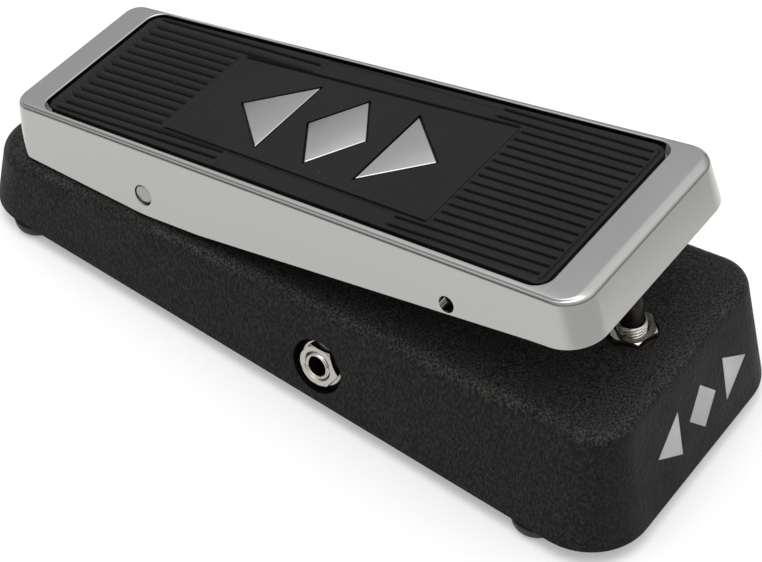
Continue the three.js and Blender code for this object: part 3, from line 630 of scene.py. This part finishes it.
def emblem_shapes():
    """an arrowhead, a lozenge and an arrowhead: plain shapes that stand for no mark"""
    m, g, a, w, l = (EMBLEM[k] for k in ("middle", "gap", "arrow", "half", "lozenge"))
    return {"emblem_heel_arrow": [(w, m - g), (-w, m - g), (0, m - g - a)],
            "emblem_lozenge": [(w, m), (0, m + l), (-w, m), (0, m - l)],
            "emblem_toe_arrow": [(-w, m + g), (w, m + g), (0, m + g + a)]}


def grown(points, by):
    """a counter-clockwise outline with every edge moved out"""
    made = []
    for i, (x, y) in enumerate(points):
        (xa, ya), (xb, yb) = points[i - 1], points[(i + 1) % len(points)]
        before = Vector((y - ya, xa - x)).normalized()
        after = Vector((yb - y, x - xb)).normalized()
        mitre = (before + after) / (1 + before.dot(after)) * by
        made.append((x + mitre.x, y + mitre.y))
    return made


def mat():
    outline = rounded_trapezoid(**RECESS, arc=12, side=4, end=2)
    # a lower band runs along the toe end and round its corners, up to a thin bevelled lip
    band = lambda n: max(0.0, n[1]) ** 0.5
    rings = [ring_at(outline, MAT_MOAT, MAT_BOTTOM)]
    rings += [ring_at(outline, MAT_MOAT + MAT_EDGE * (1 - math.cos(RAD(a))),
                      lambda x, v, n, a=a: MAT_TOP - MAT_EDGE * (1 - math.sin(RAD(a)))
                      - BAND["drop"] * band(n)) for a in (0, 30, 60, 90)]
    flat_from = MAT_MOAT + MAT_EDGE + 0.02
    rings.append(ring_at(outline, lambda p, n: flat_from + BAND["width"] * band(n),
                         lambda x, v, n: MAT_TOP - BAND["drop"] * band(n)))
    rings.append(ring_at(outline, lambda p, n: flat_from + BAND["lip"] + BAND["width"] * band(n),
                         MAT_TOP))
    body = loft("mat_ribbed", rings)
    heel, toe = PANEL["heel"], PANEL["toe"]
    panel = [(-panel_half(heel), heel), (panel_half(heel), heel),
             (panel_half(toe), toe), (-panel_half(toe), toe)]
    # the rims are above the mat, so the slopes are carried on past its surface
    far = (PANEL["depth"] + ABOVE) / PANEL["depth"]
    rims = [(x + math.copysign(PANEL_FLARE, x) * far,
             v + (PANEL_FLARE if v == toe else -PANEL_SLOPE) * far) for x, v in panel]
    recesses = [[[(x, v, MAT_TOP - PANEL["depth"]) for x, v in panel],
                 [(x, v, MAT_TOP + ABOVE) for x, v in rims]]]
    for side in (1, -1):
        strip = [(side * (panel_half(STRIP["heel"]) + 1.6), STRIP["heel"]),
                 (side * STRIP["outer"], STRIP["heel"]),
                 (side * STRIP["outer"], STRIP["toe"]),
                 (side * (panel_half(STRIP["toe"]) + 1.6), STRIP["toe"])]
        recesses.append(shallow(strip if side > 0 else strip[::-1], STRIP["depth"]))
    boolean(body, [many("recesses", recesses)], "DIFFERENCE")
    cutters = []
    for k in range(-RIBS, RIBS + 1):
        x, outermost = RIB_PITCH * k, abs(k) == RIBS
        if not outermost:
            # the grooves outside the panel's width run on to the strips
            free = abs(k) > 5
            heel_end = STRIP["heel"] - 1.2 if free else heel - PANEL_SLOPE + 0.2
            section = NARROW if abs(k) == RIBS - 1 else WAVE
            cutters.append(groove((x, GROOVE_HEEL), (x, heel_end), section,
                                  HEEL_LEAD, LEAD if free else 0.3))
        toe_start = STRIP["toe"] + 1.2 if abs(k) > 6 else toe + 0.3
        toe_end = GROOVE_TOE - (0.8 if outermost else 0)
        cutters.append(groove((x, toe_start), (x, toe_end), NARROW, TOE_LEAD, 0.2))
    flanks = [groove((side * (panel_half(heel) + 0.45), heel - 0.2),
                     (side * (panel_half(toe) + 0.45), toe + 0.2),
                     NARROW, 0.5, 0.5) for side in (1, -1)]
    boolean(body, [many("grooves", cutters), many("flanks", flanks)], "DIFFERENCE")
    # each inlay stands in a pocket that is wider above a rubber floor
    fit, gap, pocket_floor = POCKET["fit"], POCKET["gap"], MAT_TOP - POCKET["depth"]
    pockets = [[[(x, y, h) for x, y in grown(shape, by)]
                for by, h in ((fit, MAT_BOTTOM - 1), (fit, pocket_floor),
                              (gap, pocket_floor), (gap, MAT_TOP + 1))]
               for shape in emblem_shapes().values()]
    # thin beads frame the panel's ends
    bead = ((-0.34, 0), (0.34, 0), (0.2, 0.26), (0, 0.32), (-0.2, 0.26))
    beads = [[[(side * panel_half(v), v + dv, MAT_TOP - 0.2 + dh) for dv, dh in bead]
              for side in (-1, 1)] for v in (toe - 0.1, heel - PANEL_SLOPE)]
    boolean(body, [many("beads", beads)], "UNION")
    boolean(body, [many("pockets", pockets)], "DIFFERENCE")
    return onto_treadle(body)


dress(mat(), MAT, "treadle", "mat_rubber", "treadle_mat")

for name, shape in emblem_shapes().items():
    inlay = onto_treadle(bevel(prism(name + "_inlay", shape, MAT_BOTTOM, MAT_TOP - INLAY_DROP),
                               INLAY_EDGE))
    dress(inlay, INLAY, "treadle", "emblem_chrome", name)


# ---------------------------------------------------------------- nuts, washers and threads
def nut(name, across, bore, low, high, place, turn, crown, sides=96):
    """a hexagon nut whose corners are turned down outside `crown` times its flats, at 30 degrees"""
    chamfer = across / 2 * crown
    edge = 0.35
    angles = [2 * math.pi * i / sides for i in range(sides)]
    reach = [across / 2 / math.cos((t + math.pi / 6) % (math.pi / 3) - math.pi / 6) for t in angles]
    drop = [(r - chamfer) * math.tan(RAD(30)) for r in reach]
    profile = [[(bore + edge, low) for _ in angles],
               [(min(r, chamfer), low) for r in reach],
               [(r, low + d) for r, d in zip(reach, drop)],
               [(r, high - d) for r, d in zip(reach, drop)],
               [(min(r, chamfer), high) for r in reach],
               [(bore + edge, high) for _ in angles],
               [(bore, high - edge) for _ in angles],
               [(bore, low + edge) for _ in angles]]
    rings = [[(r * math.cos(t + turn), r * math.sin(t + turn), h)
              for (r, h), t in zip(row, angles)] for row in profile]
    return make(name, [p for ring in rings for p in ring],
                bands(len(rings), sides, closed=True), place, 25)


def washer(name, inner, outer, low, high, place):
    e = 0.12
    return turned(name, [(inner, low), (outer - e, low), (outer, low + e), (outer, high - e),
                         (outer - e, high), (inner + e, high), (inner, high - e)], place, 72)


def threaded(name, bore, crest, root, pitch, low, high, place, sides=72, chamfer=0.5):
    """a tube with a helical outer thread and a chamfered mouth at `high`"""
    per_turn, mouth = 8, 0.3
    count = int(round((high - low) / pitch * per_turn)) + 1
    rings = []
    for k in range(count):
        z = low + (high - low) * k / (count - 1)
        ring = []
        for i in range(sides):
            t = 2 * math.pi * i / sides
            phase = ((z - low) / pitch - i / sides) % 1
            # a triangle wave, clipped to leave narrow flats at root and crest
            tooth = max(0.0, min(1.0, 1.6 * (1 - abs(2 * phase - 1)) - 0.25))
            r = root + (crest - root) * tooth
            r = min(r, root + max(0.0, high - z) * (crest - root) / chamfer)
            ring.append((r * math.cos(t), r * math.sin(t), z))
        rings.append(ring)
    flat = lambda r, z: [(r * math.cos(2 * math.pi * i / sides),
                          r * math.sin(2 * math.pi * i / sides), z) for i in range(sides)]
    rings += [flat(bore + mouth, high), flat(bore, high - mouth), flat(bore, low)]
    return make(name, [p for ring in rings for p in ring],
                bands(len(rings), sides, closed=True), place, 40)


# the washer is dark steel so that it reads as the painted shade round the nut's foot
dress(washer("footswitch_washer_turned", 5, 7.3, -0.6, -0.2, SWITCH_FRAME), DARK_STEEL,
      "base", "nickel", "footswitch_washer")
dress(nut("footswitch_nut_cut", SWITCH["hex"], SWITCH["nut_bore"], -0.15, 1.9, SWITCH_FRAME,
          RAD(SWITCH["nut_turn"]), SWITCH["crown"]), NICKEL,
      "base", "nickel", "footswitch_nut")
dress(threaded("footswitch_bushing_threaded", SWITCH["bore"], SWITCH["barrel"], SWITCH["root"],
               SWITCH["pitch"], -9, 4.8, SWITCH_FRAME), NICKEL,
      "base", "nickel", "footswitch_bushing")
plunger = [(0, -9.5), (3.5, -9.5), (3.5, 11.2), (3.35, 11.7), (2.75, 13.6), (2.4, 14.35),
           (1.9, 14.7), (0, 14.7)]
dress(turned("switch_plunger_turned", plunger, SWITCH_FRAME), DARK_STEEL,
      "plunger", "dark_steel", "switch_plunger")

for side, name in ((1, "input"), (-1, "output")):
    place = wall_frame(side, JACK["y"], JACK["z"])
    seat = place @ Matrix.Translation((0, 0, JACK["seat"]))
    # a near-black cup lines the well that the nut sits in, sunk a hair into the paint around it:
    # painted shade in the recess
    wall, hole, depth = JACK["recess"], JACK["clear"], JACK["depth"]
    well = [(hole, -depth - 0.05), (wall + 0.05, -depth - 0.05), (wall + 0.05, -0.15),
            (wall - 0.1, -0.15), (wall - 0.15, 0.15 - depth), (hole, 0.15 - depth)]
    dress(turned(name + "_jack_well_turned", well, place, 72), WELL_SHADE, "base", "housing_paint")
    dress(washer(name + "_jack_washer_turned", 5, 7.6, -2.0, -1.7, seat), NICKEL,
          "base", "nickel", name + "_jack_washer")
    dress(nut(name + "_jack_nut_cut", JACK["hex"], JACK["nut_bore"], -1.65, 0.7, seat,
              RAD(JACK["nut_turn"]), JACK["crown"]), NICKEL,
          "base", "nickel", name + "_jack_nut")
    dress(threaded(name + "_jack_bushing_threaded", JACK["bore"], JACK["barrel"], JACK["root"],
                   JACK["pitch"], -5.7, 1.05, seat), NICKEL,
          "base", "nickel", name + "_jack_bushing")

# ---------------------------------------------------------------- painted mark on the toe wall
# the inlays' shapes, turned to run across the wall; length and height are scales
MARK = dict(x=4, y=19, length=0.68, height=0.5, low=-0.15, high=0.08)
for name, shape in emblem_shapes().items():
    plate = [(MARK["x"] + (v - EMBLEM["middle"]) * MARK["length"],
              MARK["y"] + x * MARK["height"]) for x, v in shape]
    mark = prism("toe_mark_" + name.removeprefix("emblem_"), plate, MARK["low"], MARK["high"],
                 TOE_WALL)
    dress(bevel(mark, 0.05, 1), WHITE, "base", "emblem_chrome")

# ---------------------------------------------------------------- feet
# (radius, height) down the bore, round the domed sole and up the flank
foot_profile = [(2.1, 3.2), (3.9, 3.2), (4.2, 2.9), (4.2, 0.35), (4.5, 0.0), (5.3, 0.0),
                (6.1, 0.22), (6.9, 0.8), (7.45, 1.5), (7.7, 2.2), (7.88, 3.4), (8, 4.45),
                (7.8, 4.7), (2.1, 4.7)]
screw_profile = [(0, 0.8), (2.3, 0.8), (2.8, 0.95), (3.3, 1.2), (3.6, 1.6), (3.6, 2.9),
                 (1.6, 2.9), (1.6, 20), (0, 20)]
for name, (x, y) in FEET.items():
    place = Matrix.Translation((x, y, 0))
    dress(turned(f"foot_{name}_moulded", foot_profile, place), FOOT, "base", "foot_rubber",
          "foot_" + name)
    screw = turned(f"foot_screw_{name}_turned", screw_profile, place, 48)
    # a cross recess
    reach, half_width, low, high = 2, 0.35, 0.5, 2.2
    arms = [block("arm", (-reach, -half_width, low), (reach, half_width, high), place),
            block("arm", (-half_width, -reach, low), (half_width, reach, high), place)]
    boolean(screw, arms, "DIFFERENCE")
    dress(screw, STEEL, "base", "steel", "foot_screw_" + name)

# ---------------------------------------------------------------- the CAD nodes that stay
finishes = {"steel": STEEL, "dark_steel": DARK_STEEL, "plate_steel": PLATE, "nickel": NICKEL,
            "nylon": NYLON, "black_plastic": BLACK, "board_green": BOARD, "brass": BRASS,
            "capacitor_film": FILM, "resistor_body": BEIGE, "lead_red": RED, "lead_black": BLACK,
            "mat_rubber": MAT, "foot_rubber": FOOT, "housing_paint": PAINT,
            "treadle_chrome": CHROME, "emblem_chrome": INLAY}
for part in frame["record"]["subparts"]:
    kept = frame["nodes"][part["node"]]
    kept.data.materials.clear()
    kept.data.materials.append(finishes[part["material_slot"]])

# ---------------------------------------------------------------- floor, light and camera
PAPER, FLOOR_GLOW, FLOOR_HALF, FLOOR_DROP = 0.65, 0.26, 6000, 0.0002
paper, floor_tree, floor_shader = material("studio_floor", (PAPER,) * 3, 0.9)
floor_shader.inputs["Specular IOR Level"].default_value = 0.0
floor_shader.inputs["Emission Color"].default_value = (1, 1, 1, 1)
floor_shader.inputs["Emission Strength"].default_value = FLOOR_GLOW
# the paper is darker further than 0.24 m from the origin
distance = node(floor_tree, "VectorMath", {0: node(floor_tree, "NewGeometry").outputs["Position"]},
                operation="LENGTH").outputs["Value"]
floor_tree.links.new(ramp(floor_tree, distance, [(0.0, PAPER), (0.24, PAPER), (0.34, 0.4),
                                                 (1.0, 0.36)]),
                     floor_shader.inputs["Base Color"])
floor = make("studio_floor", [(x * FLOOR_HALF, y * FLOOR_HALF, 0)
                              for x, y in ((-1, -1), (1, -1), (1, 1), (-1, 1))], [(0, 1, 2, 3)])
floor.location.z = -FLOOR_DROP
floor.data.materials.append(paper)

world = bpy.data.worlds.new("studio")
bpy.context.scene.world = world
world.use_nodes = True
sky = world.node_tree
background = sky.nodes["Background"]
up = node(sky, "SeparateXYZ", {0: node(sky, "TexCoord").outputs["Generated"]})
# low light near the horizon and a bright patch overhead, which the chrome mirrors
glow = ramp(sky, up.outputs["Z"], [(0.0, 0.03), (0.07, 0.03), (0.13, 0.22), (0.35, 0.34),
                                  (0.52, 0.36), (0.62, 0.5), (0.8, 0.66), (0.92, 0.8), (1.0, 1.9)])
sky.links.new(glow, background.inputs["Color"])
background.inputs["Strength"].default_value = 2.0

# one soft key light, in metres and watts
KEY_AT, KEY_TARGET, KEY_SIZE, KEY_POWER = Vector((0.5, -0.3, 1.6)), Vector((0, 0, 0.05)), 0.8, 3
light = bpy.data.lights.new("key", "AREA")
light.shape = "RECTANGLE"
light.size = light.size_y = KEY_SIZE
light.energy = KEY_POWER
lamp = bpy.data.objects.new("key", light)
lamp.location = KEY_AT
lamp.rotation_euler = (KEY_TARGET - KEY_AT).to_track_quat("-Z", "Y").to_euler()
bpy.context.scene.collection.objects.link(lamp)

# the camera, in metres and millimetres of lens; azimuth turns from -Y, roll is in radians
AZIMUTH, ELEVATION, ROLL = RAD(125.97), RAD(45.6), 0.0075
CAMERA_AT, LENS, SENSOR = (0.3982, 0.2992, 0.5148), 105.35, 36
back = Vector((math.sin(AZIMUTH) * math.cos(ELEVATION), -math.cos(AZIMUTH) * math.cos(ELEVATION),
               math.sin(ELEVATION)))
right = (-back).cross(Vector((0, 0, 1))).normalized()
down = (-back).cross(right)
across = math.cos(ROLL) * right + math.sin(ROLL) * down
upward = math.sin(ROLL) * right - math.cos(ROLL) * down
camera = bpy.data.objects.new("camera", bpy.data.cameras.new("camera"))
camera.matrix_world = (Matrix.Translation(CAMERA_AT)
                       @ Matrix((across, upward, back)).transposed().to_4x4())
camera.data.sensor_width = SENSOR
camera.data.lens = LENS
camera.data.clip_start, camera.data.clip_end = 0.01, 50
bpy.context.scene.collection.objects.link(camera)
bpy.context.scene.camera = camera
bpy.context.scene.view_settings.view_transform = "Standard"

# ---------------------------------------------------------------- update, and done
bpy.context.view_layer.update()
